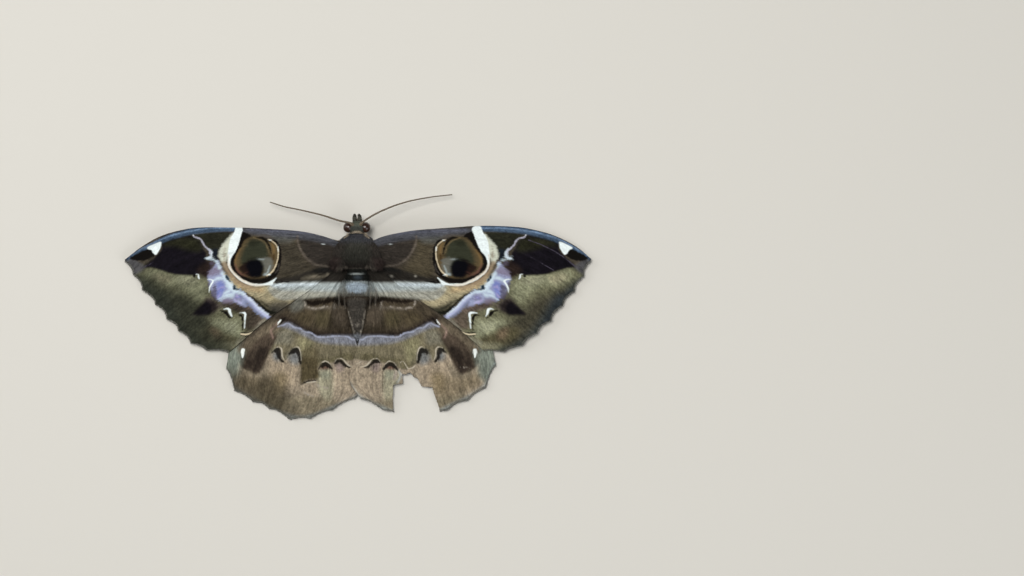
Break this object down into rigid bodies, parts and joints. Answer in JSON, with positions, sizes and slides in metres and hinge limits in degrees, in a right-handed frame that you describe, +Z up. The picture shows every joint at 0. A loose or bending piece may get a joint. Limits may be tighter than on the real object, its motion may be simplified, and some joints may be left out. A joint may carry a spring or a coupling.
{
  "type": "owl moth",
  "caption": "Owl moth at rest with patterned fore- and hindwings spread flat, eyespots, furred body, long antennae and legs folded underneath.",
  "frame": {"origin": "on the floor, under the middle of the moth's bounding box", "axes": "+X towards the tip of the moth's right forewing, +Y forwards past the head, +Z up from the floor through the back"},
  "size_m": [0.1099, 0.0528, 0.0089],
  "materials": {
    "wing": "matt overlapping scales in browns, olive, cream and lilac",
    "fur": "dense short hair, matt",
    "eye": "dark, glossy, finely faceted",
    "horn": "dull brown horn with fine scales"
  },
  "bodies": {
    "root": {"thorax": "fur", "head": "fur", "abdomen": "fur", "palp_left": "fur", "palp_right": "fur", "eye_left": "eye", "eye_right": "eye", "tongue": "horn", "antenna_left": "horn", "antenna_right": "horn", "forewing_left": "wing", "forewing_right": "wing", "hindwing_left": "wing", "hindwing_right": "wing", "foreleg_left": "horn", "foreleg_right": "horn", "midleg_left": "horn", "midleg_right": "horn", "hindleg_left": "horn", "hindleg_right": "horn"}
  },
  "joints": []
}
